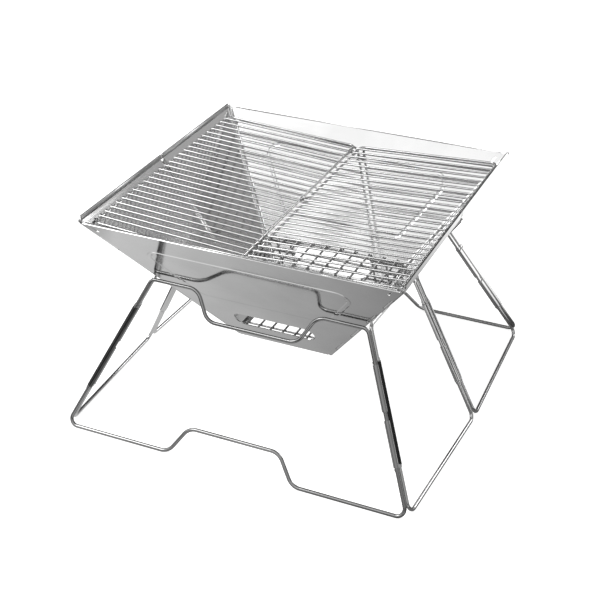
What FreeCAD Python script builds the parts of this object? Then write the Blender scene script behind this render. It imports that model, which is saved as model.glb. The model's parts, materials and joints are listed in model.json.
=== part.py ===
import FreeCAD, Part
import math
import os
from FreeCAD import Vector

# Folding camp grill: an inverted pyramid firebox of hinged sheet steel that
# hangs in a folding stand of bent round wire, with a cooking grate in two
# halves, a charcoal grate and a small ember grate.
# Millimetres.  +X right, +Y to the back, +Z up.  The origin is on the floor,
# in the middle of the stand.

# ---------------------------------------------------------------- stand
WIRE = 4.5               # diameter of the stand's wire
FLOOR_Z = WIRE / 2       # height of the wire's centre line on the floor
WAIST_Z = 180.5          # height of the wire's centre line round the waist
FOOT_X = 219.0           # half width at the floor, on the centre lines
FOOT_Y = 215.5           # half depth at the floor
WAIST_X = 136.1          # half width at the waist
TAPER = WAIST_X / FOOT_X
WAIST_Y = FOOT_Y * TAPER
PAIR = 8.0               # distance between the two wires of a leg, along Y
BOW = 8.0                # how far the middle feet stand out of the straight line
NOTCH_DEPTH = 31.0       # height of the notch in the waist, and of the arch in the base
NOTCH_OUT = 75.0         # half width of the waist notch at its mouth
NOTCH_IN = 57.0          # half width of the waist notch at its foot
ARCH_OUT = 80.0          # half width of the base arch on the floor
ARCH_IN = 58.0           # half width of the base arch at its top
LOOP_BEND = 9.0          # radius of the wire's bends at the feet and the waist's corners
EASY_BEND = 18.0         # radius of its bends in the notch and the arch

MID_FOOT_X = FOOT_X + BOW
MID_WAIST_X = MID_FOOT_X * TAPER

# ---------------------------------------------------------------- sleeves
SLEEVE_R = 3.25          # outer radius of a sleeve's barrels
SLEEVE_PLAY = 0.08       # between a barrel's bore and its wire
SLEEVE_BORE = WIRE / 2 + SLEEVE_PLAY
SLEEVE_FROM = 0.27       # share of the leg's length, from the floor, where a sleeve starts
SLEEVE_TO = 0.81
SLEEVE_GAP = 10.0        # gap between the two short barrels
WEB = 1.0                # thickness of the sheet between the barrels
WEB_SHORT = 1.0          # how far that sheet stops short of the barrels' ends
WEB_START = SLEEVE_BORE + 0.5    # from a leg's centre line to the edge of that sheet
STOP_R = 2.85            # radius of the stops pinched on the wires
STOP_LENGTH = 3.0
STOP_GAP = 1.0           # from a stop to the end of its sleeve

# ---------------------------------------------------------------- firebox
SHEET = 1.0
RIM_Z = 268.5            # height of the hinge lines' upper ends
BOTTOM_Z = 83.5          # height of their lower ends
RIM_X = 192.8            # half width between the hinge lines at the rim
BOTTOM_X = 60.8
RIM_Y = 185.1            # half depth between the hinge lines at the rim
KNUCKLE_R = 2.2
PIN_R = 1.0
PIN_BORE = 1.05
PIN_END = 0.4            # from the end of a hinge line to the pin's head
PIN_HEAD_R = 1.6
PIN_HEAD = 1.0           # thickness of the head
FACE_IN = KNUCKLE_R - SHEET      # a wall's inner face, out from the plane of its hinges
FACE_OUT = KNUCKLE_R
SEAM_AXIS = FACE_IN + KNUCKLE_R  # a side wall's middle hinge stands outside its sheet
EDGE_GAP = 2.6           # from a hinge line to the edge of a sheet
OPEN_GAP = 5.6           # the same at the left seam, whose rear half has no knuckles
SEAM_START = 4.0         # from a side wall's bottom edge to its middle hinge
SEAM_END = 3.0           # from the middle hinge to the rim
CORNER_KNUCKLES = 9
SEAM_KNUCKLES = 7
KNUCKLE_GAP = 0.6
STRAP_LAP = 0.4          # how far a knuckle's strap laps over the sheet
LIP = 7.0                # height of the upright lip on the side walls
LIP_ROOT = 2.0           # how far the lip reaches down over the sheet
LIP_GAP = 1.0            # from the middle of a side wall to the end of its lips
LIP_INSET = 3.0          # from the corner's hinge line to the lip's other end
SLOT_LENGTH = 104.0      # air slot in the front and rear walls
SLOT_WIDTH = 29.0
SLOT_CORNER = 12.0
SLOT_Z = 124.5           # height of the slot's middle
BEAD_TOP_Z = 237.5       # pressed bead, a frame parallel with the wall's edges
BEAD_BOTTOM_Z = 163.5
BEAD_INSET = 33.0        # from the hinge line to the bead, along the wall
BEAD_WIDTH = 6.0
BEAD_HEIGHT = 0.5
BEAD_BEND = 14.0
BEAD_HOLLOW = 0.4        # depth of the groove behind the bead
RIM_SLOT_NEAR = 8.0      # small slot beside a rim corner: from the hinge line to its sides
RIM_SLOT_FAR = 10.6
RIM_SLOT_LOW = 13.0      # and from the rim to its ends
RIM_SLOT_HIGH = 5.0
CUT_LOW = -1.0           # cutters through a wall run from here, inside it
CUT_HIGH = 6.0           # to here, outside it
OVERLAP = 0.01           # sinks one shape a little into another that it joins

# ---------------------------------------------------------------- grates
GRATE_WIRE = 3.0         # edge wire of a cooking grate half
GRATE_CORNER = 7.0       # radius of its corners
BAR = 2.4
BAR_PITCH = 12.5
BAR_COUNT = 26
GRATE_END_Z = 261.5      # height of the edge wire at the side walls
GRATE_MID_Z = 251.5      # height of the edge wire at the centre line
CLIP_SPAN = 8.0          # between the two wires that a clip joins
CLIP_WIDTH = 7.0
CLIP_SHEET = 0.8
CLIP_PLAY = 0.05         # between a clip's bore and its wire
CLIP_Y = (-125.0, 0.0, 150.0)
BAR_SINK = 0.3           # depth of the weld between a bar and its edge wire
MESH_SINK = 0.1          # depth of the welds in a mesh
MESH_PAST = 1.0          # how far the long wires run past the edge wire's centre line
REST_GAP = 2.0           # left between a grate and the walls
COAL_Z = 138.0
COAL_PITCH = 19.3
COAL_COUNT = 10
COAL_EDGE_WIRE = 3.0
COAL_WIRE = 2.8
COAL_CORNER = 10.0
EMBER_Z = 88.0
EMBER_PITCH = 16.2
EMBER_COUNT = 8
EMBER_EDGE_WIRE = 2.5
EMBER_WIRE = 2.4
EMBER_CORNER = 6.0


def unit(vector):
    """The vector with length 1."""
    return vector / vector.Length


def along(start, end, share):
    """The point a share of the way from start to end."""
    return start + (end - start) * share


def cylinder(start, end, radius):
    """A round rod between two points."""
    return Part.makeCylinder(radius, (end - start).Length, start, end - start)


def bend(before, corner, after, radius):
    """Start, middle and end of the tangent arc that rounds a corner."""
    back = unit(before - corner)
    ahead = unit(after - corner)
    half = back.getAngle(ahead) / 2
    reach = radius / math.tan(half)
    middle = unit(back + ahead) * (radius / math.sin(half) - radius)
    return corner + back * reach, corner + middle, corner + ahead * reach


def bends_round(points, radii):
    """The rounding arcs of a closed run of points, one radius for each."""
    count = len(points)
    return [bend(points[i - 1], points[i], points[(i + 1) % count], radii[i]) for i in range(count)]


def bent_loop(points, radii, diameter):
    """A closed loop of round wire through the points, with rounded corners."""
    bends = bends_round(points, radii)
    pieces = []
    for i, (first, middle, last) in enumerate(bends):
        before = bends[i - 1][2]
        pieces.append(cylinder(before, first, diameter / 2))
        arc = Part.Arc(first, middle, last).toShape()
        section = Part.Face(Part.Wire(Part.Circle(first, first - before, diameter / 2).toShape()))
        turn = math.degrees(arc.LastParameter - arc.FirstParameter)
        pieces.append(section.revolve(arc.Curve.Center, arc.Curve.Axis, turn))
    return pieces[0].multiFuse(pieces[1:])


def save(name, shapes):
    """Write one node, of one solid or of several separate ones."""
    shape = shapes if isinstance(shapes, Part.Shape) else Part.makeCompound(shapes)
    shape.exportStep("parts/" + name + ".step")


# ================================================================ stand
def loop_point(x, z, end):
    """A point of the front (end = -1) or rear (end = 1) loop's sloping plane."""
    share = (z - FLOOR_Z) / (WAIST_Z - FLOOR_Z)
    return Vector(x, end * (FOOT_Y + (WAIST_Y - FOOT_Y) * share), z)


def end_loop(end):
    """The front or rear loop: an arch in its base and a notch in its waist."""
    arch_z = FLOOR_Z + NOTCH_DEPTH
    notch_z = WAIST_Z - NOTCH_DEPTH
    outline = [
        (-FOOT_X, FLOOR_Z), (-ARCH_OUT, FLOOR_Z), (-ARCH_IN, arch_z),
        (ARCH_IN, arch_z), (ARCH_OUT, FLOOR_Z), (FOOT_X, FLOOR_Z),
        (WAIST_X, WAIST_Z), (NOTCH_OUT, WAIST_Z), (NOTCH_IN, notch_z),
        (-NOTCH_IN, notch_z), (-NOTCH_OUT, WAIST_Z), (-WAIST_X, WAIST_Z),
    ]
    points = [loop_point(x, z, end) for x, z in outline]
    radii = [LOOP_BEND if abs(x) in (FOOT_X, WAIST_X) else EASY_BEND for x, _ in outline]
    return bent_loop(points, radii, WIRE)


def corner_leg(side, end, offset):
    """Foot and waist points of a corner leg, offset along Y towards the middle."""
    shift = Vector(0, -end * offset, 0)
    foot = Vector(side * FOOT_X, end * FOOT_Y, FLOOR_Z) + shift
    waist = Vector(side * WAIST_X, end * WAIST_Y, WAIST_Z) + shift
    return foot, waist


def middle_leg(side, end):
    """Foot and waist points of one wire of a middle leg."""
    foot = Vector(side * MID_FOOT_X, end * PAIR / 2, FLOOR_Z)
    waist = Vector(side * MID_WAIST_X, end * PAIR / 2, WAIST_Z)
    return foot, waist


def side_loop(side, end):
    """Half of a side: a four-sided loop between a corner leg and the middle leg."""
    foot, waist = corner_leg(side, end, PAIR)
    mid_foot, mid_waist = middle_leg(side, end)
    return bent_loop([foot, waist, mid_waist, mid_foot], [LOOP_BEND] * 4, WIRE)


def with_stops(loop, legs):
    """The loop with a pinched stop on each leg above and below its sleeve."""
    stops = []
    for foot, waist in legs:
        axis = unit(waist - foot)
        low = along(foot, waist, SLEEVE_FROM) - axis * (STOP_LENGTH + STOP_GAP)
        high = along(foot, waist, SLEEVE_TO) + axis * STOP_GAP
        for start in (low, high):
            stops.append(cylinder(start, start + axis * STOP_LENGTH, STOP_R))
    return loop.fuse(stops)


def barrels(foot, waist, short):
    """One long barrel round a leg, or two short ones with a gap between them."""
    low = along(foot, waist, SLEEVE_FROM)
    high = along(foot, waist, SLEEVE_TO)
    if not short:
        return [(low, high)]
    centre = along(low, high, 0.5)
    half_gap = unit(high - low) * (SLEEVE_GAP / 2)
    return [(low, centre - half_gap), (centre + half_gap, high)]


def bored(spans, extra=()):
    """Barrels over the given spans, joined with extra sheet, with their bores cut."""
    outside = [cylinder(a, b, SLEEVE_R) for a, b in spans]
    solid = outside[0].multiFuse(outside[1:] + list(extra)) if len(outside) + len(extra) > 1 else outside[0]
    for a, b in spans:
        past = unit(b - a)
        solid = solid.cut(cylinder(a - past, b + past, SLEEVE_BORE))
    return solid


def web(leg_a, leg_b):
    """The flat sheet between the barrels of two parallel legs."""
    a_low, a_high = along(*leg_a, SLEEVE_FROM), along(*leg_a, SLEEVE_TO)
    b_low = along(*leg_b, SLEEVE_FROM)
    axis = unit(a_high - a_low)
    across = unit(b_low - a_low)
    normal = unit(axis.cross(across)) * (WEB / 2)
    inset = across * WEB_START
    start = axis * WEB_SHORT
    corners = [a_low + start + inset - normal, a_low + start + inset + normal,
               b_low + start - inset + normal, b_low + start - inset - normal]
    run = a_high - a_low - start * 2
    return Part.Face(Part.makePolygon(corners + corners[:1])).extrude(run)


def sleeve(long_leg, short_leg):
    """A sleeve: long barrel on one leg, two short barrels on the other, web between."""
    spans = barrels(*long_leg, short=False) + barrels(*short_leg, short=True)
    return bored(spans, [web(long_leg, short_leg)])


def build_stand():
    for end, name in ((-1, "front"), (1, "rear")):
        legs = [corner_leg(side, end, 0) for side in (-1, 1)]
        save("stand_" + name + "_wire", with_stops(end_loop(end), legs))
        for side, side_name in ((-1, "left"), (1, "right")):
            legs = [corner_leg(side, end, PAIR), middle_leg(side, end)]
            save("stand_" + side_name + "_" + name + "_wire", with_stops(side_loop(side, end), legs))
    outer = {(side, end): corner_leg(side, end, 0) for side in (-1, 1) for end in (-1, 1)}
    inner = {(side, end): corner_leg(side, end, PAIR) for side in (-1, 1) for end in (-1, 1)}
    # Going round the stand, each loop has its long barrel on one leg and its
    # short ones on the other, so all six sleeves are alike.
    save("sleeve_front_left", sleeve(outer[-1, -1], inner[-1, -1]))
    save("sleeve_front_right", sleeve(inner[1, -1], outer[1, -1]))
    save("sleeve_mid_right", sleeve(middle_leg(1, 1), middle_leg(1, -1)))
    save("sleeve_rear_right", sleeve(outer[1, 1], inner[1, 1]))
    save("sleeve_rear_left", sleeve(inner[-1, 1], outer[-1, 1]))
    # The stand's closed chain is open here: the sleeve's long barrel and its
    # two short ones are separate, each on its own wire.
    save("sleeve_mid_left", bored(barrels(*middle_leg(-1, -1), short=False)))
    save("sleeve_mid_left_rings", [bored([span]) for span in barrels(*middle_leg(-1, 1), short=True)])


# ================================================================ firebox
BOTTOM_Y = RIM_Y * BOTTOM_X / RIM_X


class Wall:
    """One wall's own frame: u level along it, v up its slope, n out of the box."""

    def __init__(self, outward, rim_out, bottom_out, rim_half, bottom_half):
        rise = RIM_Z - BOTTOM_Z
        spread = rim_out - bottom_out
        self.height = math.hypot(rise, spread)
        self.up = (outward * spread + Vector(0, 0, rise)) / self.height
        self.out = (outward * rise - Vector(0, 0, spread)) / self.height
        self.level = self.up.cross(self.out)
        self.origin = outward * bottom_out + Vector(0, 0, BOTTOM_Z)
        self.rim_half = rim_half
        self.bottom_half = bottom_half
        self.lean = math.atan2(spread, rise)

    def point(self, u, v, n):
        return self.origin + self.level * u + self.up * v + self.out * n

    def half(self, v):
        """Half width between the hinge lines at v."""
        return self.bottom_half + (self.rim_half - self.bottom_half) * v / self.height

    def edge(self, v, gap):
        """The same, less a gap measured square to the hinge line."""
        return self.half(v) - gap * self.edge_stretch()

    def edge_stretch(self):
        return math.hypot(self.height, self.rim_half - self.bottom_half) / self.height

    def at_height(self, z):
        """v of a height above the floor."""
        return (z - BOTTOM_Z) / math.cos(self.lean)

    def prism(self, outline, low, high):
        """A plate with an outline in u and v, between two distances out."""
        corners = [self.point(u, v, low) for u, v in outline]
        face = Part.Face(Part.makePolygon(corners + corners[:1]))
        return face.extrude(self.out * (high - low))


FRONT = Wall(Vector(0, -1, 0), RIM_Y, BOTTOM_Y, RIM_X, BOTTOM_X)
REAR = Wall(Vector(0, 1, 0), RIM_Y, BOTTOM_Y, RIM_X, BOTTOM_X)
LEFT = Wall(Vector(-1, 0, 0), RIM_X, BOTTOM_X, RIM_Y, BOTTOM_Y)
RIGHT = Wall(Vector(1, 0, 0), RIM_X, BOTTOM_X, RIM_Y, BOTTOM_Y)


def knuckles(low, high, out, count, chosen, inward, sheet_side):
    """Rolled knuckles on a hinge line.

    low, high: ends of the hinge line; out: the wall's normal; chosen: which of
    the count knuckles belong to this sheet; inward: direction in the wall from
    the hinge line to the sheet; sheet_side: where the sheet's middle lies
    along out, from the hinge line.
    """
    axis = unit(high - low)
    step = (high - low).Length / count
    solids = []
    for index in chosen:
        start = low + axis * (index * step + KNUCKLE_GAP / 2)
        end = low + axis * ((index + 1) * step - KNUCKLE_GAP / 2)
        tube = cylinder(start, end, KNUCKLE_R).cut(cylinder(start - axis, end + axis, PIN_BORE))
        base = start + out * (sheet_side - SHEET / 2)
        reach = inward * (EDGE_GAP + STRAP_LAP)
        corners = [base, base + reach, base + reach + out * SHEET, base + out * SHEET]
        strap = Part.Face(Part.makePolygon(corners + corners[:1])).extrude(end - start)
        solids.append(tube.fuse(strap))
    return solids


def corner_knuckles(wall, sign, chosen):
    """This wall's knuckles on its corner at u = sign * half."""
    low = wall.point(sign * wall.bottom_half, 0, 0)
    high = wall.point(sign * wall.rim_half, wall.height, 0)
    inward = unit(wall.out.cross(high - low)) * sign
    return knuckles(low, high, wall.out, CORNER_KNUCKLES, chosen, inward, FACE_IN + SHEET / 2)


def seam_line(wall):
    """Ends of a side wall's middle hinge."""
    return wall.point(0, SEAM_START, SEAM_AXIS), wall.point(0, wall.height - SEAM_END, SEAM_AXIS)


def seam_knuckles(wall, sign, chosen):
    """Knuckles on a side wall's middle hinge, for the half on the sign side of it."""
    low, high = seam_line(wall)
    return knuckles(low, high, wall.out, SEAM_KNUCKLES, chosen, wall.level * sign, -KNUCKLE_R + SHEET / 2)


def rounded_outline(wall, corners, radius, out):
    """A closed wire in the wall's plane, with rounded corners."""
    bends = bends_round([wall.point(u, v, out) for u, v in corners], [radius] * len(corners))
    edges = []
    for i, (first, middle, last) in enumerate(bends):
        edges.append(Part.LineSegment(bends[i - 1][2], first).toShape())
        edges.append(Part.Arc(first, middle, last).toShape())
    return Part.Wire(edges)


def bead_corners(wall, grow):
    """Corners of the bead's centre line, moved outwards in the wall by grow."""
    low = wall.at_height(BEAD_BOTTOM_Z) - grow
    high = wall.at_height(BEAD_TOP_Z) + grow
    gap = BEAD_INSET - grow
    return [(-wall.edge(low, gap), low), (wall.edge(low, gap), low),
            (wall.edge(high, gap), high), (-wall.edge(high, gap), high)]


def bead_ridge(wall, width, foot, crest):
    """A frame-shaped ridge with sloping sides, from one distance out to another."""
    flat = width / 4
    outer = Part.makeLoft([
        rounded_outline(wall, bead_corners(wall, width / 2), BEAD_BEND + width / 2, foot),
        rounded_outline(wall, bead_corners(wall, flat), BEAD_BEND + flat, crest)], True, True)
    inner = Part.makeLoft([
        rounded_outline(wall, bead_corners(wall, -width / 2), BEAD_BEND - width / 2, foot),
        rounded_outline(wall, bead_corners(wall, -flat), BEAD_BEND - flat, crest)], True, True)
    return outer.cut(inner)


def end_plate(wall):
    """The front or rear wall, with its bead, air slot and corner slots."""
    top = wall.height
    outline = [(-wall.edge(0, EDGE_GAP), 0), (wall.edge(0, EDGE_GAP), 0),
               (wall.edge(top, EDGE_GAP), top), (-wall.edge(top, EDGE_GAP), top)]
    plate = wall.prism(outline, FACE_IN, FACE_OUT)
    plate = plate.fuse(bead_ridge(wall, BEAD_WIDTH, FACE_OUT - OVERLAP, FACE_OUT + BEAD_HEIGHT))
    plate = plate.cut(bead_ridge(wall, BEAD_WIDTH - SHEET, FACE_IN - OVERLAP, FACE_IN + BEAD_HOLLOW))
    middle = wall.at_height(SLOT_Z)
    half_length = SLOT_LENGTH / 2
    half_width = SLOT_WIDTH / 2
    slot = [(-half_length, middle - half_width), (half_length, middle - half_width),
            (half_length, middle + half_width), (-half_length, middle + half_width)]
    slot_face = Part.Face(rounded_outline(wall, slot, SLOT_CORNER, CUT_LOW))
    cutter = slot_face.extrude(wall.out * (CUT_HIGH - CUT_LOW))
    plate = plate.cut(cutter)
    for sign in (-1, 1):
        plate = plate.cut(corner_slot(wall, sign))
    odd = range(0, CORNER_KNUCKLES, 2)
    return plate.multiFuse(corner_knuckles(wall, -1, odd) + corner_knuckles(wall, 1, odd)).removeSplitter()


def corner_slot(wall, sign):
    """Cutter for the small slot beside a rim corner."""
    low = wall.height - RIM_SLOT_LOW
    high = wall.height - RIM_SLOT_HIGH
    near = RIM_SLOT_NEAR
    far = RIM_SLOT_FAR
    outline = [(sign * wall.edge(low, near), low), (sign * wall.edge(low, far), low),
               (sign * wall.edge(high, far), high), (sign * wall.edge(high, near), high)]
    return wall.prism(outline, CUT_LOW, CUT_HIGH)


def lip(wall, from_u, to_u):
    """The upright lip along the top of a side wall."""
    up_v, up_n = math.cos(wall.lean), -math.sin(wall.lean)
    out_v, out_n = math.sin(wall.lean), math.cos(wall.lean)
    top = wall.height
    root = top - LIP_ROOT
    rise = (SHEET - SHEET * out_n) / -up_n
    section = [
        (root, FACE_OUT), (top, FACE_OUT), (top + LIP * up_v, FACE_OUT + LIP * up_n),
        (top + LIP * up_v - SHEET * out_v, FACE_OUT + LIP * up_n - SHEET * out_n),
        (top - SHEET * out_v + rise * up_v, FACE_IN), (root, FACE_IN),
    ]
    corners = [wall.point(from_u, v, n) for v, n in section]
    face = Part.Face(Part.makePolygon(corners + corners[:1]))
    return face.extrude(wall.level * (to_u - from_u))


def side_plate(wall, sign, seam_gap, lip_gap, seam_chosen):
    """Half of a side wall, from the middle hinge to the corner at u = sign * half."""
    top = wall.height
    outline = [(sign * seam_gap, 0), (sign * wall.edge(0, EDGE_GAP), 0),
               (sign * wall.edge(top, EDGE_GAP), top), (sign * seam_gap, top)]
    plate = wall.prism(outline, FACE_IN, FACE_OUT)
    even = range(1, CORNER_KNUCKLES, 2)
    extra = corner_knuckles(wall, sign, even) + seam_knuckles(wall, sign, seam_chosen)
    extra.append(lip(wall, sign * lip_gap, sign * wall.edge(top, LIP_INSET)))
    return plate.multiFuse(extra).removeSplitter()


def hinge_pin(low, high):
    """A pin with a small head just past each end of its hinge line."""
    axis = unit(high - low)
    start = low - axis * PIN_END
    end = high + axis * PIN_END
    shaft = cylinder(start, end, PIN_R)
    low_head = cylinder(start - axis * PIN_HEAD, start, PIN_HEAD_R)
    high_head = cylinder(end, end + axis * PIN_HEAD, PIN_HEAD_R)
    return shaft.multiFuse([low_head, high_head])


def build_firebox():
    save("firebox_front_plate", end_plate(FRONT))
    save("firebox_rear_plate", end_plate(REAR))
    odd = range(0, SEAM_KNUCKLES, 2)
    even = range(1, SEAM_KNUCKLES, 2)
    # On the left wall +u runs towards the front, on the right wall to the back.
    save("firebox_left_front_plate", side_plate(LEFT, 1, EDGE_GAP, LIP_GAP, odd))
    save("firebox_left_rear_plate", side_plate(LEFT, -1, OPEN_GAP, OPEN_GAP, []))
    save("firebox_right_front_plate", side_plate(RIGHT, -1, EDGE_GAP, LIP_GAP, odd))
    save("firebox_right_rear_plate", side_plate(RIGHT, 1, EDGE_GAP, LIP_GAP, even))
    for wall, end_name in ((FRONT, "front"), (REAR, "rear")):
        for sign in (-1, 1):
            low = wall.point(sign * wall.bottom_half, 0, 0)
            high = wall.point(sign * wall.rim_half, wall.height, 0)
            side_name = "left" if low.x < 0 else "right"
            save("hinge_pin_" + end_name + "_" + side_name, hinge_pin(low, high))
    for wall, side_name in ((LEFT, "left"), (RIGHT, "right")):
        save("hinge_pin_mid_" + side_name, hinge_pin(*seam_line(wall)))


# ================================================================ grates
def inner_half(z, rim, bottom):
    """Half distance between two facing walls' inner faces at a height."""
    lean = math.atan2(rim - bottom, RIM_Z - BOTTOM_Z)
    return bottom + (rim - bottom) * (z - BOTTOM_Z) / (RIM_Z - BOTTOM_Z) + FACE_IN / math.cos(lean)


def resting_half(z, radius, rim, bottom):
    """Half distance between the centre lines of edge wires that rest on two facing walls."""
    lean = math.atan2(rim - bottom, RIM_Z - BOTTOM_Z)
    return inner_half(z, rim, bottom) - (radius + REST_GAP) / math.cos(lean)


def spread(count, pitch):
    """Evenly spaced positions about zero."""
    return [(i - (count - 1) / 2) * pitch for i in range(count)]


GRATE_END_X = resting_half(GRATE_END_Z, GRATE_WIRE / 2, RIM_X, BOTTOM_X)
GRATE_HALF_Y = BAR_PITCH * (BAR_COUNT + 1) / 2


def build_cooking_grate():
    lift = (GRATE_WIRE + BAR) / 2 - BAR_SINK
    for side, name in ((-1, "left"), (1, "right")):
        inner = Vector(side * CLIP_SPAN / 2, 0, GRATE_MID_Z)
        outer = Vector(side * GRATE_END_X, 0, GRATE_END_Z)
        front = Vector(0, -GRATE_HALF_Y, 0)
        points = [inner + front, outer + front, outer - front, inner - front]
        save("grate_" + name + "_frame", bent_loop(points, [GRATE_CORNER] * 4, GRATE_WIRE))
        run = unit(outer - inner)
        rise = Vector(-run.z, 0, run.x) * side * lift
        bars = []
        for y in spread(BAR_COUNT, BAR_PITCH):
            place = Vector(0, y, 0) + rise
            bars.append(cylinder(inner - run + place, outer + run + place, BAR / 2))
        save("grate_" + name + "_bars", bars)
    save("grate_clips", [clip(y) for y in CLIP_Y])


def clip(y):
    """A folded sheet clip round both centre wires of the cooking grate."""
    radius = GRATE_WIRE / 2 + CLIP_SHEET
    across = Vector(0, CLIP_WIDTH, 0)
    left = Vector(-CLIP_SPAN / 2, y - CLIP_WIDTH / 2, GRATE_MID_Z)
    right = left + Vector(CLIP_SPAN, 0, 0)
    solid = cylinder(left, left + across, radius).fuse(cylinder(right, right + across, radius))
    plate = Part.makeBox(CLIP_SPAN, CLIP_WIDTH, CLIP_SHEET * 2, left - Vector(0, 0, CLIP_SHEET))
    solid = solid.fuse(plate)
    for start in (left, right):
        solid = solid.cut(cylinder(start - across, start + across * 2, GRATE_WIRE / 2 + CLIP_PLAY))
    return solid


def mesh_grate(name, z, edge_wire, mesh_wire, pitch, count, corner):
    """A flat grate of crossed wires welded to an edge wire."""
    half_x = resting_half(z, edge_wire / 2, RIM_X, BOTTOM_X)
    half_y = resting_half(z, edge_wire / 2, RIM_Y, BOTTOM_Y)
    outline = [Vector(-half_x, -half_y, z), Vector(half_x, -half_y, z),
               Vector(half_x, half_y, z), Vector(-half_x, half_y, z)]
    save(name + "_frame", bent_loop(outline, [corner] * 4, edge_wire))
    top = z + mesh_wire - MESH_SINK
    places = spread(count, pitch)
    save(name + "_cross_wires",
         [cylinder(Vector(-half_x, y, z), Vector(half_x, y, z), mesh_wire / 2) for y in places])
    end_y = half_y + MESH_PAST
    save(name + "_long_wires",
         [cylinder(Vector(x, -end_y, top), Vector(x, end_y, top), mesh_wire / 2) for x in places])


def build_mesh_grates():
    mesh_grate("charcoal_grate", COAL_Z, COAL_EDGE_WIRE, COAL_WIRE, COAL_PITCH, COAL_COUNT, COAL_CORNER)
    mesh_grate("ember_grate", EMBER_Z, EMBER_EDGE_WIRE, EMBER_WIRE, EMBER_PITCH, EMBER_COUNT, EMBER_CORNER)


os.makedirs("parts", exist_ok=True)
build_stand()
build_firebox()
build_cooking_grate()
build_mesh_grates()
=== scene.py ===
import json
import math

import bmesh
import bpy
from mathutils import Matrix, Vector


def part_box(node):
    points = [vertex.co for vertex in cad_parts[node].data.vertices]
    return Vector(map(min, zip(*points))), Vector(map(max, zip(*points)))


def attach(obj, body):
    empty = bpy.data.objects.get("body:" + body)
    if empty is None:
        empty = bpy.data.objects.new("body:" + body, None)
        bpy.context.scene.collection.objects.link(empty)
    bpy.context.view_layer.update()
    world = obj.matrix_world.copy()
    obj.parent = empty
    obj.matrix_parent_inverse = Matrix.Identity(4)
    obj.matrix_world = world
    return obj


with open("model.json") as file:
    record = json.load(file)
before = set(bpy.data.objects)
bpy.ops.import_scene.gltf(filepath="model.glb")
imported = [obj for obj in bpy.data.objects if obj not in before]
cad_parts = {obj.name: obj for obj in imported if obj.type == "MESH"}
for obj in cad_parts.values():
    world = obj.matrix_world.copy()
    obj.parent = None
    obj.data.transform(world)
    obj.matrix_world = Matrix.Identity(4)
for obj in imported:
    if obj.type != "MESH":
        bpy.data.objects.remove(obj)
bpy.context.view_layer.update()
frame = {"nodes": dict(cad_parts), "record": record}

# A folding camp grill in bright stainless steel on a plain pale floor.
# Metres.  +X right, +Y to the back, +Z up, the same frame as the CAD model.

MM = 0.001


# ================================================================ camera
SENSOR_WIDTH = 36.0
LENS = 78.02
SHIFT_Y = -0.002
NEAREST, FARTHEST = 0.05, 60.0
CAMERA_PLACE = (0.5682, -1.2700, 0.9338)
YAW, PITCH, ROLL = 0.42479, 0.53238, -0.0033    # radians; the pitch is downwards


def make_camera():
    """The camera stands in front, a little to the right, and looks down on the grill."""
    data = bpy.data.cameras.new("camera")
    data.sensor_width = SENSOR_WIDTH
    data.lens = LENS
    data.shift_y = SHIFT_Y
    data.clip_start = NEAREST
    data.clip_end = FARTHEST
    camera = bpy.data.objects.new("camera", data)
    bpy.context.scene.collection.objects.link(camera)
    look = Vector((-math.sin(YAW) * math.cos(PITCH), math.cos(YAW) * math.cos(PITCH), -math.sin(PITCH)))
    turn = look.to_track_quat("-Z", "Y").to_matrix() @ Matrix.Rotation(ROLL, 3, "Z")
    camera.matrix_world = Matrix.Translation(Vector(CAMERA_PLACE)) @ turn.to_4x4()
    bpy.context.scene.camera = camera


# ================================================================ studio
LIGHT_TARGET = Vector((0, 0, 0.15))
ROOM_STRENGTH = 1.0
FLOOR_HALF = 2.6
FLOOR_GREY = 0.9
FLOOR_ROUGH = 0.9
FLOOR_GLOSS = 0.1
FLOOR_GLOW = 0.75
SHADE_HALF = 0.5        # the shade that steel sees in the floor varies this far from the middle
SHADE_REACH = 2.0       # and, with distance, as far as this


def area_light(name, place, size, power):
    """A soft rectangular light that points at the middle of the grill."""
    data = bpy.data.lights.new(name, "AREA")
    data.shape = "RECTANGLE"
    data.size, data.size_y = size
    data.energy = power
    light = bpy.data.objects.new(name, data)
    light.location = place
    light.rotation_mode = "QUATERNION"
    light.rotation_quaternion = (LIGHT_TARGET - Vector(place)).to_track_quat("-Z", "Y")
    bpy.context.scene.collection.objects.link(light)


def ramp(tree, source, stops):
    """A grey colour ramp on a value; each stop is a position and its grey."""
    node = tree.nodes.new("ShaderNodeValToRGB")
    elements = node.color_ramp.elements
    while len(elements) < len(stops):
        elements.new(0.5)
    for element, (at, grey) in zip(elements, stops):
        element.position = at
        element.color = (grey, grey, grey, 1)
    tree.links.new(source, node.inputs["Fac"])
    return node.outputs["Color"]


def map_range(tree, value, start, end, to=(0.0, 1.0)):
    """A value stretched from the range start to end on to another range, 0 to 1 unless given."""
    node = tree.nodes.new("ShaderNodeMapRange")
    node.inputs["From Min"].default_value = start
    node.inputs["From Max"].default_value = end
    node.inputs["To Min"].default_value, node.inputs["To Max"].default_value = to
    tree.links.new(value, node.inputs["Value"])
    return node.outputs["Result"]


def mixed(tree, kind, first, second, factor=None):
    """Two colours multiplied, added or, with a factor, blended from the first to the second."""
    node = tree.nodes.new("ShaderNodeMix")
    node.data_type = "RGBA"
    node.blend_type = kind
    node.inputs["Factor"].default_value = 1.0
    if factor is not None:
        tree.links.new(factor, node.inputs["Factor"])
    tree.links.new(first, node.inputs["A"])
    tree.links.new(second, node.inputs["B"])
    return node.outputs["Result"]


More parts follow.
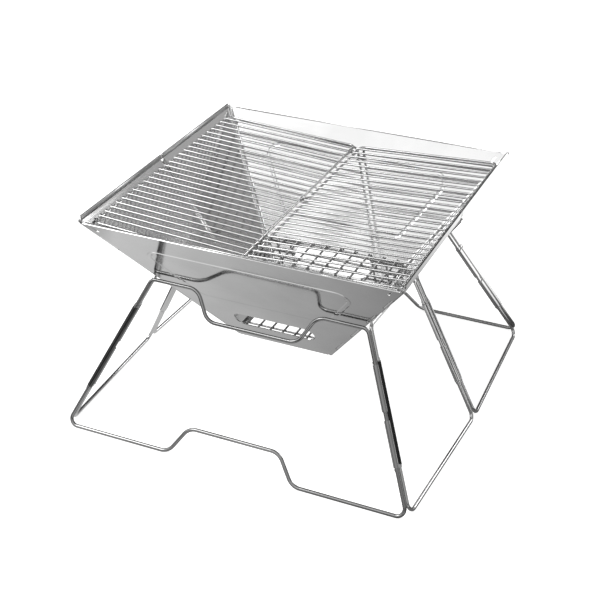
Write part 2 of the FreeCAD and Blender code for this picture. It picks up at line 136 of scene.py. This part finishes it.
def make_world():
    """A grey room with a bright ceiling, lighter on the left, white where the camera looks."""
    world = bpy.data.worlds.new("studio")
    bpy.context.scene.world = world
    world.use_nodes = True
    tree = world.node_tree
    tree.nodes.clear()
    coordinates = tree.nodes.new("ShaderNodeTexCoord")
    split = tree.nodes.new("ShaderNodeSeparateXYZ")
    tree.links.new(coordinates.outputs["Generated"], split.inputs[0])
    across, depth, height = (map_range(tree, split.outputs[axis], -1, 1) for axis in "XYZ")
    front = ramp(tree, height, [(0.0, 0.05), (0.50, 0.06), (0.54, 0.34), (0.62, 0.50), (0.70, 0.95),
                                (0.78, 1.35), (0.95, 1.10)])
    back = ramp(tree, height, [(0.0, 0.05), (0.50, 0.30), (0.53, 1.00), (0.64, 1.00), (0.72, 0.55),
                               (0.90, 0.45), (1.0, 0.6)])
    back = mixed(tree, "MULTIPLY", back, ramp(tree, across, [(0.40, 0.12), (0.66, 1.0)]))
    toward_back = ramp(tree, depth, [(0.42, 0.0), (0.66, 1.0)])
    walls = mixed(tree, "MIX", front, back, toward_back)
    sideways = ramp(tree, across, [(0.0, 1.2), (0.35, 1.0), (0.62, 0.55), (1.0, 0.35)])
    room = tree.nodes.new("ShaderNodeBackground")
    tree.links.new(mixed(tree, "MULTIPLY", walls, sideways), room.inputs["Color"])
    room.inputs["Strength"].default_value = ROOM_STRENGTH
    white = tree.nodes.new("ShaderNodeBackground")
    white.inputs["Color"].default_value = (1, 1, 1, 1)
    white.inputs["Strength"].default_value = 1.0
    path = tree.nodes.new("ShaderNodeLightPath")
    choice = tree.nodes.new("ShaderNodeMixShader")
    tree.links.new(path.outputs["Is Camera Ray"], choice.inputs["Fac"])
    tree.links.new(room.outputs[0], choice.inputs[1])
    tree.links.new(white.outputs[0], choice.inputs[2])
    output = tree.nodes.new("ShaderNodeOutputWorld")
    tree.links.new(choice.outputs[0], output.inputs["Surface"])


def make_floor():
    """A wide, pale, matt floor, which steel sees as greys in place of a real room's shade."""
    mesh = bpy.data.meshes.new("floor")
    half = FLOOR_HALF
    corners = [(-half, -half, 0), (half, -half, 0), (half, half, 0), (-half, half, 0)]
    mesh.from_pydata(corners, [], [(0, 1, 2, 3)])
    floor = bpy.data.objects.new("floor", mesh)
    bpy.context.scene.collection.objects.link(floor)
    material = bpy.data.materials.new("floor_pale")
    material.use_nodes = True
    tree = material.node_tree
    shader = tree.nodes["Principled BSDF"]
    shader.inputs["Base Color"].default_value = (FLOOR_GREY, FLOOR_GREY, FLOOR_GREY, 1)
    shader.inputs["Roughness"].default_value = FLOOR_ROUGH
    shader.inputs["Specular IOR Level"].default_value = FLOOR_GLOSS
    shader.inputs["Emission Color"].default_value = (1, 1, 1, 1)
    shader.inputs["Emission Strength"].default_value = FLOOR_GLOW
    coordinates = tree.nodes.new("ShaderNodeTexCoord")
    split = tree.nodes.new("ShaderNodeSeparateXYZ")
    tree.links.new(coordinates.outputs["Object"], split.inputs[0])
    across = map_range(tree, split.outputs["X"], -SHADE_HALF, SHADE_HALF)
    depth = map_range(tree, split.outputs["Y"], -SHADE_HALF, SHADE_HALF)
    reach = tree.nodes.new("ShaderNodeVectorMath")
    reach.operation = "LENGTH"
    tree.links.new(coordinates.outputs["Object"], reach.inputs[0])
    distance = map_range(tree, reach.outputs["Value"], 0.0, SHADE_REACH)
    # For glossy rays only, the floor shows painted shade and painted light: a painted shadow under the
    # grill (below), and brighter patches ahead, beside and far off.
    below = mixed(tree, "MULTIPLY",
                  ramp(tree, across, [(0.0, 0.10), (0.10, 0.10), (0.20, 0.72), (0.5, 0.42),
                                      (0.68, 0.22), (0.80, 0.06)]),
                  ramp(tree, depth, [(0.0, 0.0), (0.20, 0.0), (0.25, 0.9), (0.62, 1.0), (0.74, 0.12)]))
    ahead = mixed(tree, "MULTIPLY",
                  ramp(tree, across, [(0.0, 0.25), (0.15, 0.25), (0.22, 0.75), (0.52, 0.75),
                                      (0.64, 0.35), (0.70, 0.95), (0.76, 0.95), (0.84, 0.08)]),
                  ramp(tree, depth, [(0.02, 0.1), (0.12, 1.0), (0.235, 1.0), (0.262, 0.03)]))
    beside = mixed(tree, "MULTIPLY",
                   ramp(tree, across, [(0.80, 0.0), (0.86, 0.62)]),
                   ramp(tree, depth, [(0.52, 0.0), (0.64, 1.0)]))
    far = mixed(tree, "MULTIPLY",
                ramp(tree, distance, [(0.22, 0.0), (0.34, 0.95)]),
                ramp(tree, across, [(0.72, 0.0), (0.84, 1.0)]))
    around = mixed(tree, "ADD", mixed(tree, "ADD", beside, ahead), far)
    shade = tree.nodes.new("ShaderNodeEmission")
    tree.links.new(mixed(tree, "ADD", below, around), shade.inputs["Color"])
    path = tree.nodes.new("ShaderNodeLightPath")
    choice = tree.nodes.new("ShaderNodeMixShader")
    tree.links.new(path.outputs["Is Glossy Ray"], choice.inputs["Fac"])
    tree.links.new(shader.outputs[0], choice.inputs[1])
    tree.links.new(shade.outputs[0], choice.inputs[2])
    tree.links.new(choice.outputs[0], tree.nodes["Material Output"].inputs["Surface"])
    mesh.materials.append(material)


# ================================================================ materials
EVEN = (1, 1, 1)
NOISE_SPAN = (0.3, 0.7)     # where nearly all of a noise's values lie
PATCH_FROM, PATCH_TO = 0.35, 0.65
PATCH_SCALE = 14.0
GRAIN_SCALE = 60.0
GRAIN_STRENGTH = 0.35
PAINTED_SHADE_NOISE_SCALE = 40.0
PAINTED_SHADE_NOISE_LOW = 0.7           # the darkest noise in the painted dark reflection, as a share of its tint
RIGHT_PAINTED_SHADE, LEFT_PAINTED_SHADE = 0.05, 0.12        # painted dark reflection: tints of the front sleeves' long barrels
RIGHT_PAINTED_SHADE_FROM, RIGHT_PAINTED_SHADE_TO = -2.4 * MM, -1.8 * MM
LEFT_PAINTED_SHADE_FROM, LEFT_PAINTED_SHADE_TO = -1.6 * MM, -2.8 * MM


def noise_value(tree, scale, stretch, detail):
    """Noise in the object's own coordinates."""
    coordinates = tree.nodes.new("ShaderNodeTexCoord")
    mapping = tree.nodes.new("ShaderNodeMapping")
    mapping.inputs["Scale"].default_value = stretch
    tree.links.new(coordinates.outputs["Object"], mapping.inputs["Vector"])
    noise = tree.nodes.new("ShaderNodeTexNoise")
    noise.inputs["Scale"].default_value = scale
    noise.inputs["Detail"].default_value = detail
    tree.links.new(mapping.outputs["Vector"], noise.inputs["Vector"])
    return noise.outputs["Fac"]


def bump(tree, value, distance, strength, below=None):
    """A bump on top of the one below."""
    node = tree.nodes.new("ShaderNodeBump")
    node.inputs["Distance"].default_value = distance
    node.inputs["Strength"].default_value = strength
    tree.links.new(value, node.inputs["Height"])
    if below is not None:
        tree.links.new(below, node.inputs["Normal"])
    return node.outputs["Normal"]


def steel(name, tint, rough, grain, grain_depth, dent_scale, dent_depth):
    """Stainless steel: patchy tint, drawn grain in its gloss, and a slight unevenness.

    tint: its darkest and lightest grey; rough: its lowest and highest roughness;
    grain: stretch of the drawn lines; dent_scale: how closely the shallow dents follow each other.
    """
    material = bpy.data.materials.new(name)
    material.use_nodes = True
    tree = material.node_tree
    shader = tree.nodes["Principled BSDF"]
    shader.inputs["Metallic"].default_value = 1.0
    patches = noise_value(tree, PATCH_SCALE, EVEN, detail=4.0)
    colour = ramp(tree, patches, [(PATCH_FROM, tint[0]), (PATCH_TO, tint[1])])
    tree.links.new(colour, shader.inputs["Base Color"])
    lines = noise_value(tree, GRAIN_SCALE, grain, detail=3.0)
    tree.links.new(map_range(tree, lines, *NOISE_SPAN, rough), shader.inputs["Roughness"])
    dents = noise_value(tree, dent_scale, EVEN, detail=1.0)
    normal = bump(tree, dents, dent_depth, 1.0)
    normal = bump(tree, lines, grain_depth, GRAIN_STRENGTH, normal)
    tree.links.new(normal, shader.inputs["Normal"])
    return material


def paint_dark_reflection(material, node, joint, tint, start, end):
    """A painted dark reflection on the long barrel of a corner sleeve: a darker tint.

    It fades in from start to end, measured along Y from the plane between the barrels.
    """
    low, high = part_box(node)
    axis = joint_line(joint)[1]
    slope = axis.y / axis.z
    tree = material.node_tree
    shader = tree.nodes["Principled BSDF"]
    light = shader.inputs["Base Color"].links[0].from_socket
    coordinates = tree.nodes.new("ShaderNodeTexCoord")
    along = tree.nodes.new("ShaderNodeVectorMath")
    along.operation = "DOT_PRODUCT"
    along.inputs[1].default_value = (0, 1, -slope)
    tree.links.new(coordinates.outputs["Object"], along.inputs[0])
    middle = (low.y + high.y) / 2 - slope * (low.z + high.z) / 2
    # Painted dark reflection: a darker tint mottled with noise, blended in over the steel's own colour
    # by the fade from start to end.
    side = map_range(tree, along.outputs["Value"], middle + start, middle + end)
    painted_shade_noise = noise_value(tree, PAINTED_SHADE_NOISE_SCALE, EVEN, detail=3.0)
    painted_dark = ramp(tree, painted_shade_noise, [(PATCH_FROM, tint * PAINTED_SHADE_NOISE_LOW), (PATCH_TO, tint)])
    tree.links.new(mixed(tree, "MIX", light, painted_dark, side), shader.inputs["Base Color"])


def wire_steel(name, tint):
    """Smooth, bright drawn wire."""
    return steel(name, tint, rough=(0.07, 0.14), grain=EVEN, grain_depth=0.02 * MM,
                 dent_scale=60.0, dent_depth=0.02 * MM)


def rolled_steel(name, tint):
    """Bright sheet that is rolled into a sleeve's barrels."""
    return steel(name, tint, rough=(0.08, 0.16), grain=(3, 3, 0.4), grain_depth=0.03 * MM,
                 dent_scale=80.0, dent_depth=0.04 * MM)


def front_sleeve_painted_shade_steel(name, *side):
    """The front sleeve's steel as a darker copy, painted shade, with a painted dark reflection on its
    long barrel.
    """
    finish = rolled_steel(name + "_steel", (0.38, 0.50))
    paint_dark_reflection(finish, name, SLEEVE_ENDS[name][0], *side)
    return finish


MATERIALS = {
    "stand_wire": wire_steel("stand_wire_steel", (0.62, 0.76)),
    # Painted shade: a darker copy of the stand wire steel, for the stand's front wire.
    "front_wire": wire_steel("front_wire_painted_shade_steel", (0.28, 0.40)),
    "sleeve_steel": rolled_steel("sleeve_sheet_steel", (0.60, 0.72)),
    "firebox_steel": steel("firebox_sheet_steel", (0.70, 0.77), rough=(0.05, 0.10), grain=(0.2, 0.2, 6),
                           grain_depth=0.002 * MM, dent_scale=6.0, dent_depth=0.12 * MM),
    "lip_steel": steel("lip_brushed_steel", (0.72, 0.80), rough=(0.34, 0.46), grain=(6, 0.3, 6),
                       grain_depth=0.004 * MM, dent_scale=9.0, dent_depth=0.04 * MM),
    "pin_steel": steel("pin_rod_steel", (0.50, 0.62), rough=(0.18, 0.30), grain=(2, 2, 0.5),
                       grain_depth=0.02 * MM, dent_scale=90.0, dent_depth=0.02 * MM),
    "grate_wire": steel("grate_wire_steel", (0.62, 0.74), rough=(0.10, 0.18), grain=(0.4, 3, 3),
                        grain_depth=0.02 * MM, dent_scale=90.0, dent_depth=0.03 * MM),
    "mesh_wire": steel("mesh_wire_steel", (0.36, 0.48), rough=(0.20, 0.32), grain=(2, 2, 2),
                       grain_depth=0.03 * MM, dent_scale=90.0, dent_depth=0.03 * MM),
}


def dress(name, material):
    """A carried-over CAD node gets a material."""
    slots = frame["nodes"][name].data.materials
    slots.clear()
    slots.append(material)


def dress_cad_nodes():
    """Every carried-over CAD node gets its slot's steel; the front wire and the front sleeves get darker
    copies of it, painted shade, and the sleeves' long barrels a painted dark reflection.
    """
    for part in frame["record"]["subparts"]:
        dress(part["node"], MATERIALS[part["material_slot"]])
    dress("stand_front_wire", MATERIALS["front_wire"])
    right, left = "sleeve_front_right", "sleeve_front_left"
    dress(right, front_sleeve_painted_shade_steel(right, RIGHT_PAINTED_SHADE, RIGHT_PAINTED_SHADE_FROM, RIGHT_PAINTED_SHADE_TO))
    dress(left, front_sleeve_painted_shade_steel(left, LEFT_PAINTED_SHADE, LEFT_PAINTED_SHADE_FROM, LEFT_PAINTED_SHADE_TO))


# ================================================================ small parts
SOFT_EDGE = 0.25        # how far an edge is rounded, as a share of the radius or thickness


class Shape:
    """One mesh gathered from several small forms, which rides on one body."""

    def __init__(self, name, body, slot, finish=None):
        self.name = name
        self.body = body
        self.slot = slot
        self.material = MATERIALS[finish or slot]
        self.mesh = bmesh.new()

    def tube(self, start, end, radius, sides=20):
        """A round rod with softly rounded ends."""
        axis = end - start
        made = bmesh.ops.create_cone(self.mesh, cap_ends=True, segments=sides, radius1=radius,
                                     radius2=radius, depth=axis.length)
        turn = axis.to_track_quat("Z", "Y").to_matrix().to_4x4()
        place = Matrix.Translation((start + end) / 2) @ turn
        bmesh.ops.transform(self.mesh, matrix=place, verts=made["verts"])
        rims = [edge for edge in {edge for vert in made["verts"] for edge in vert.link_edges}
                if any(len(face.verts) > 4 for face in edge.link_faces)]
        bmesh.ops.bevel(self.mesh, geom=rims, offset=radius * SOFT_EDGE, segments=2, affect="EDGES")

    def blob(self, centre, axis, radius, height):
        """A flattened ball: a dome, a rivet's head or a lump of weld."""
        made = bmesh.ops.create_icosphere(self.mesh, subdivisions=2, radius=1.0)
        turn = axis.to_track_quat("Z", "Y").to_matrix().to_4x4()
        size = Matrix.Diagonal((radius, radius, height, 1))
        place = Matrix.Translation(centre) @ turn @ size
        bmesh.ops.transform(self.mesh, matrix=place, verts=made["verts"])

    def ring(self, centre, axis, radius, thickness, sides=24, around=8):
        """A round collar."""
        turn = axis.to_track_quat("Z", "Y").to_matrix()
        rows = []
        for i in range(sides):
            angle = 2 * math.pi * i / sides
            out = Vector((math.cos(angle), math.sin(angle), 0))
            row = []
            for k in range(around):
                tilt = 2 * math.pi * k / around
                rise = Vector((0, 0, thickness * math.sin(tilt)))
                local = out * (radius + thickness * math.cos(tilt)) + rise
                row.append(self.mesh.verts.new(centre + turn @ local))
            rows.append(row)
        for i in range(sides):
            for k in range(around):
                self.mesh.faces.new((rows[i][k], rows[(i + 1) % sides][k],
                                     rows[(i + 1) % sides][(k + 1) % around], rows[i][(k + 1) % around]))

    def strip(self, corners, normal, thickness):
        """A flat strip of sheet with softened edges; normal points to its outer face."""
        low = [self.mesh.verts.new(corner) for corner in corners]
        high = [self.mesh.verts.new(corner + normal * thickness) for corner in corners]
        faces = [self.mesh.faces.new(low[::-1]), self.mesh.faces.new(high)]
        for i in range(len(corners)):
            k = (i + 1) % len(corners)
            faces.append(self.mesh.faces.new((low[i], low[k], high[k], high[i])))
        edges = list({edge for face in faces for edge in face.edges})
        bmesh.ops.bevel(self.mesh, geom=edges, offset=thickness * SOFT_EDGE, segments=2, affect="EDGES")

    def finish(self):
        """The mesh becomes a piece of the scene and rides on its body."""
        bmesh.ops.recalc_face_normals(self.mesh, faces=self.mesh.faces)
        data = bpy.data.meshes.new(self.name)
        self.mesh.to_mesh(data)
        self.mesh.free()
        data.shade_smooth()
        data.materials.append(self.material)
        piece = bpy.data.objects.new(self.name, data)
        bpy.context.scene.collection.objects.link(piece)
        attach(piece, self.body)


def joint_line(name):
    """A point on a hinge's axis and the axis, pointing upwards."""
    for joint in frame["record"]["behaviour"]["joints"]:
        if joint["name"] == name:
            axis = Vector(joint["axis"]).normalized()
            return Vector(joint["pos_m"]), axis if axis.z > 0 else -axis
    raise KeyError(name)


def mirrored(line, axis_index):
    """The same line on the other side of the middle plane."""
    place, axis = line[0].copy(), line[1].copy()
    place[axis_index] = -place[axis_index]
    axis[axis_index] = -axis[axis_index]
    return place, axis


def at_height(line, z):
    """The point of a rising line at a height."""
    place, axis = line
    return place + axis * ((z - place.z) / axis.z)


def even(low, high, count):
    """Evenly spaced values from low to high."""
    return [low + (high - low) * i / (count - 1) for i in range(count)]


def crest(node, top):
    """The points along a plate's upper edge."""
    return [vert.co for vert in frame["nodes"][node].data.vertices if vert.co.z > top - CREST_DEPTH]


def upright(x, first, last, foot, top):
    """The corners of a standing rectangle along Y."""
    return [Vector((x, first, foot)), Vector((x, last, foot)),
            Vector((x, last, top)), Vector((x, first, top))]


SHEET = 1.0 * MM            # thickness of the walls and of the sleeves' webs
FOLD_SHEET = 0.3 * MM       # thin layer that stands for a lap or a folded edge
CREST_DEPTH = 0.2 * MM


# ---------------------------------------------------------------- stand
BARREL_R = 3.25 * MM
HEM_R = 0.35 * MM
HEM_INSET = 1.2 * MM
WEB_NEAR, WEB_FAR = 2.9 * MM, 3.2 * MM      # from the long barrel's axis towards the short ones
WEB_INSET = 2.5 * MM
SLEEVE_ENDS = {
    "sleeve_front_left": ("left_front_turn", "stand_front"),
    "sleeve_front_right": ("stand_fold", "stand_front"),
    "sleeve_mid_right": ("mid_right_sleeve_turn", "stand_mid_right"),
    "sleeve_rear_right": ("stand_rear_turn", "stand_rear"),
    "sleeve_rear_left": ("left_rear_turn", "stand_rear"),
    "sleeve_mid_left": ("mid_left_sleeve_turn", "stand_mid_left"),
}


def make_sleeve_hems():
    """Each sleeve's barrel on its hinge line has a turned hem at both ends."""
    for node, (joint, body) in SLEEVE_ENDS.items():
        low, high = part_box(node)
        line = joint_line(joint)
        hems = Shape(node + "_hems", body, "sleeve_steel")
        for z in (low.z + HEM_INSET, high.z - HEM_INSET):
            hems.ring(at_height(line, z), line[1], BARREL_R, HEM_R)
        hems.finish()


def make_left_web():
    """The sheet beside the left middle barrel, which stops just short of the other barrels."""
    low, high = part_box("sleeve_mid_left")
    line = joint_line("mid_left_sleeve_turn")
    inward = Vector((0, 1, 0))
    normal = line[1].cross(inward).normalized()
    near, far = inward * WEB_NEAR, inward * WEB_FAR
    foot = at_height(line, low.z + WEB_INSET) - normal * SHEET / 2
    top = at_height(line, high.z - WEB_INSET) - normal * SHEET / 2
    web = Shape("sleeve_mid_left_web", "stand_mid_left", "sleeve_steel")
    web.strip([foot + near, top + near, top + far, foot + far], normal, SHEET)
    web.finish()


# ---------------------------------------------------------------- firebox
WALL_INSET = 2.2 * MM       # from a middle hinge line in to the wall's inner face
LAP_INSET = 2.0 * MM
LAP_FRONT, LAP_BACK = -3.0 * MM, 2.4 * MM
LIP_END_Y = 0.6 * MM
LIP_HEIGHT = 7.0 * MM
LIP_HEM_FOOT, LIP_HEM_TOP = 6.2 * MM, 0.3 * MM      # below the lip's top
SEAM_INSET = 2.6 * MM
COVER_RUN = 2.0 * MM        # how far the seam's cover runs on past its knuckles
COVER_FRONT, COVER_BACK = 2.6 * MM, 6.2 * MM
KNUCKLE_COUNT = 7           # every other one belongs to the front sheet
KNUCKLE_R = 2.1 * MM
KNUCKLE_GAP = 0.4 * MM
DOME_SINK = 0.5 * MM
DOME_R, DOME_HEIGHT = 1.55 * MM, 0.9 * MM
RIM_HEM_R = 0.7 * MM
RIM_HEM_INSET, RIM_HEM_DROP = 1.7 * MM, 1.0 * MM
RIM_CORNER = 9.0 * MM


def outward(line):
    """The direction square to a side wall, out of the box, from its middle hinge line."""
    out = line[1].cross(Vector((0, 1, 0))).normalized()
    return out if out.x * line[0].x > 0 else -out


def make_seam_laps():
    """A thin lap of each side's front sheet covers the gap at its middle hinge from inside."""
    right = joint_line("right_seam_turn")
    for name, line in (("right", right), ("left", mirrored(right, 0))):
        low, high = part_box("hinge_pin_mid_" + name)
        out = outward(line)
        start = at_height(line, low.z + LAP_INSET) - out * WALL_INSET
        end = at_height(line, high.z - LAP_INSET) - out * WALL_INSET
        front, back = Vector((0, LAP_FRONT, 0)), Vector((0, LAP_BACK, 0))
        lap = Shape("firebox_" + name + "_seam_lap", "firebox_" + name + "_front", "firebox_steel")
        lap.strip([start + front, end + front, end + back, start + back], -out, FOLD_SHEET)
        lap.finish()


def make_left_lip_end():
    """The left rear lip runs on to the middle hinge."""
    low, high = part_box("firebox_left_rear_plate")
    edge = crest("firebox_left_rear_plate", high.z)
    outer, inner = min(co.x for co in edge), max(co.x for co in edge)
    corners = upright(outer, LIP_END_Y, min(co.y for co in edge), high.z - LIP_HEIGHT, high.z)
    lip = Shape("firebox_left_rear_lip_end", "firebox_left_rear", "firebox_steel")
    lip.strip(corners, Vector((1, 0, 0)), inner - outer)
    lip.finish()


def make_lip_hems():
    """The side walls' upright lips are hemmed: brushed sheet is folded down over their inner face."""
    for side, sign in (("left", -1), ("right", 1)):
        for end in ("front", "rear"):
            node = "firebox_" + side + "_" + end + "_plate"
            low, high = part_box(node)
            edge = crest(node, high.z)
            face = min(abs(co.x) for co in edge) * sign
            first, last = min(co.y for co in edge), max(co.y for co in edge)
            corners = upright(face, first, last, high.z - LIP_HEM_FOOT, high.z - LIP_HEM_TOP)
            hem = Shape("firebox_" + side + "_" + end + "_lip_hem", "firebox_" + side + "_" + end,
                        "firebox_steel", "lip_steel")
            hem.strip(corners, Vector((-sign, 0, 0)), FOLD_SHEET)
            hem.finish()


def make_left_seam():
    """Cover strip and knuckles that close the left wall's middle seam."""
    line = mirrored(joint_line("right_seam_turn"), 0)
    low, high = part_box("hinge_pin_mid_left")
    back = Vector((0, 1, 0))
    out = outward(line)
    first, last = at_height(line, low.z + SEAM_INSET), at_height(line, high.z - SEAM_INSET)
    start = first - out * WALL_INSET - line[1] * COVER_RUN
    end = last - out * WALL_INSET + line[1] * COVER_RUN
    near, far = back * COVER_FRONT, back * COVER_BACK
    cover = Shape("firebox_left_seam_cover", "firebox_left_rear", "firebox_steel")
    cover.strip([start + near, end + near, end + far, start + far], out, SHEET)
    cover.finish()
    barrels = Shape("firebox_left_seam_knuckles", "firebox_left_front", "firebox_steel")
    step = (last - first) / KNUCKLE_COUNT
    gap = line[1] * KNUCKLE_GAP
    for index in range(1, KNUCKLE_COUNT, 2):
        barrels.tube(first + step * index + gap, first + step * (index + 1) - gap, KNUCKLE_R)
    barrels.finish()


def make_pin_domes():
    """Each hinge pin ends in a rounded head."""
    pins = (
        ("hinge_pin_front_left", "firebox_front", "firebox_left_turn"),
        ("hinge_pin_front_right", "firebox_front", "firebox_fold"),
        ("hinge_pin_rear_right", "firebox_rear", "firebox_rear_turn"),
        ("hinge_pin_rear_left", "firebox_rear", "firebox_left_rear_turn"),
        ("hinge_pin_mid_right", "firebox_right_front", "right_seam_turn"),
    )
    for node, body, joint in pins:
        low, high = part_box(node)
        line = joint_line(joint)
        domes = Shape(node + "_domes", body, "pin_steel")
        for z in (low.z + DOME_SINK, high.z - DOME_SINK):
            domes.blob(at_height(line, z), line[1], DOME_R, DOME_HEIGHT)
        domes.finish()


def make_rim_hems():
    """The front and rear walls' upper edges are folded over into a thin round hem."""
    for end, name in ((-1, "front"), (1, "rear")):
        low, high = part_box("firebox_" + name + "_plate")
        edge_y = low.y if end < 0 else high.y
        half = Vector((high.x - RIM_CORNER, 0, 0))
        place = Vector((0, edge_y - end * RIM_HEM_INSET, high.z - RIM_HEM_DROP))
        hem = Shape("firebox_" + name + "_hem", "firebox_" + name, "firebox_steel")
        hem.tube(place - half, place + half, RIM_HEM_R, 12)
        hem.finish()


# ---------------------------------------------------------------- grates
BAR_COUNT = 26
BAR_R = 1.2 * MM
FRAME_R = 1.5 * MM
WELD_R, WELD_HEIGHT = 1.35 * MM, 1.9 * MM
MESHES = (("charcoal_grate", 10, 1.4 * MM), ("ember_grate", 8, 1.2 * MM))   # wires each way, radius
MESH_WELD_R, MESH_WELD_HEIGHT = 1.25, 0.9       # shares of the wire's radius
CLIP_HEM_R = 0.3 * MM
CLIP_HEM_INSET = 0.25 * MM
CLIP_LEAST_WIDTH = 1.0 * MM


def make_bar_welds():
    """A small lump of weld where each bar crosses its edge wires."""
    for name in ("left", "right"):
        bars_low, bars_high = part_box("grate_" + name + "_bars")
        wire_low, wire_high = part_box("grate_" + name + "_frame")
        places = even(bars_low.y + BAR_R, bars_high.y - BAR_R, BAR_COUNT)
        sign = -1 if name == "left" else 1
        inner = min(abs(wire_low.x), abs(wire_high.x)) + FRAME_R
        outer = max(abs(wire_low.x), abs(wire_high.x)) - FRAME_R
        welds = Shape("grate_" + name + "_welds", "grate_" + name, "grate_wire")
        for y in places:
            for x, z in ((inner, wire_low.z + FRAME_R), (outer, wire_high.z - FRAME_R)):
                welds.blob(Vector((sign * x, y, z + BAR_R)), Vector((0, 1, 0)), WELD_R, WELD_HEIGHT)
        welds.finish()


def make_mesh_welds():
    """A weld at each crossing of the two lower grates."""
    for name, count, wire in MESHES:
        across_low, across_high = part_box(name + "_cross_wires")
        long_low, long_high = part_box(name + "_long_wires")
        welds = Shape(name + "_welds", name, "mesh_wire")
        middle = (across_high.z + long_low.z) / 2
        for x in even(long_low.x + wire, long_high.x - wire, count):
            for y in even(across_low.y + wire, across_high.y - wire, count):
                welds.blob(Vector((x, y, middle)), Vector((0, 0, 1)), wire * MESH_WELD_R,
                           wire * MESH_WELD_HEIGHT)
        welds.finish()


def make_clip_hems():
    """The clips' side edges are rolled smooth."""
    low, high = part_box("grate_clips")
    hems = Shape("grate_clip_hems", "grate_clips", "grate_wire")
    body = frame["nodes"]["grate_clips"]
    radius = (high.z - low.z) / 2
    middle = (high.z + low.z) / 2
    edges = sorted({round(vert.co.y, 5) for vert in body.data.vertices})
    sides = [edges[0]] + [edge for before, edge in zip(edges, edges[1:])
                          if edge - before > CLIP_LEAST_WIDTH]
    for y in sides:
        for x in (low.x + radius, high.x - radius):
            hems.ring(Vector((x, y, middle)), Vector((0, 1, 0)), radius - CLIP_HEM_INSET, CLIP_HEM_R)
    hems.finish()


bpy.context.scene.view_settings.view_transform = "Standard"
make_camera()
make_world()
make_floor()
area_light("key", place=(-1.6, -0.9, 2.4), size=(1.6, 1.2), power=26)
area_light("rim", place=(1.4, 1.8, 1.6), size=(1.2, 0.8), power=12)
dress_cad_nodes()
make_sleeve_hems()
make_left_web()
make_left_seam()
make_seam_laps()
make_left_lip_end()
make_lip_hems()
make_pin_domes()
make_rim_hems()
make_bar_welds()
make_mesh_welds()
make_clip_hems()
